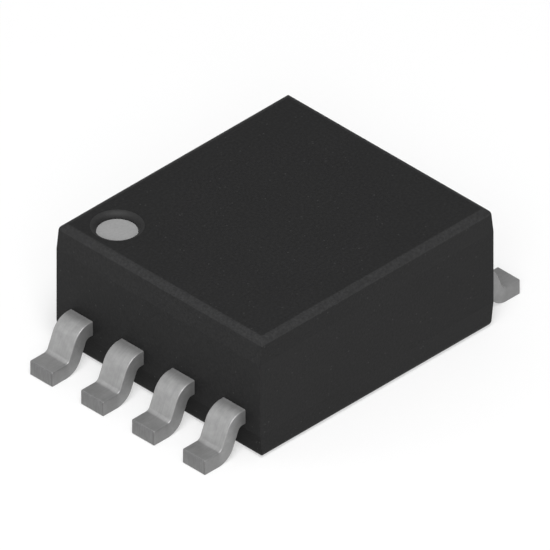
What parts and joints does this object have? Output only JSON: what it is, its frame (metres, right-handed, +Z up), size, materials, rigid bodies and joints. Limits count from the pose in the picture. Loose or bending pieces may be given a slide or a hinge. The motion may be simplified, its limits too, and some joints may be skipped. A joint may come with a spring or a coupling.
{
  "type": "logic gate chip",
  "caption": "Surface-mount logic gate chip: a small black moulded body with a grey index dot in one top corner and a row of gull-wing leads along each of two opposite sides.",
  "frame": {"origin": "centre of the seating plane, under the middle of the body, level with the undersides of the feet", "axes": "+X across the body from the lead 1 to 4 side to the lead 5 to 8 side, +Y along the lead rows towards leads 1 and 8, +Z up"},
  "size_m": [0.0032, 0.002, 0.001],
  "materials": {
    "mould_compound": "matte",
    "index_ink": "matte",
    "lead_finish": "satin",
    "die_adhesive": "matte",
    "silicon": "gloss",
    "bond_gold": "gloss"
  },
  "bodies": {
    "root": {"body": "mould_compound", "pin_1_mark": "index_ink", "lead_1": "lead_finish", "lead_2": "lead_finish", "lead_3": "lead_finish", "lead_4_die_pad": "lead_finish", "lead_5": "lead_finish", "lead_6": "lead_finish", "lead_7": "lead_finish", "lead_8": "lead_finish", "die_attach": "die_adhesive", "die": "silicon", "bond_wire_1": "bond_gold", "bond_wire_2": "bond_gold", "bond_wire_3": "bond_gold", "bond_wire_4": "bond_gold", "bond_wire_5": "bond_gold", "bond_wire_6": "bond_gold", "bond_wire_7": "bond_gold", "bond_wire_8": "bond_gold"}
  },
  "joints": []
}
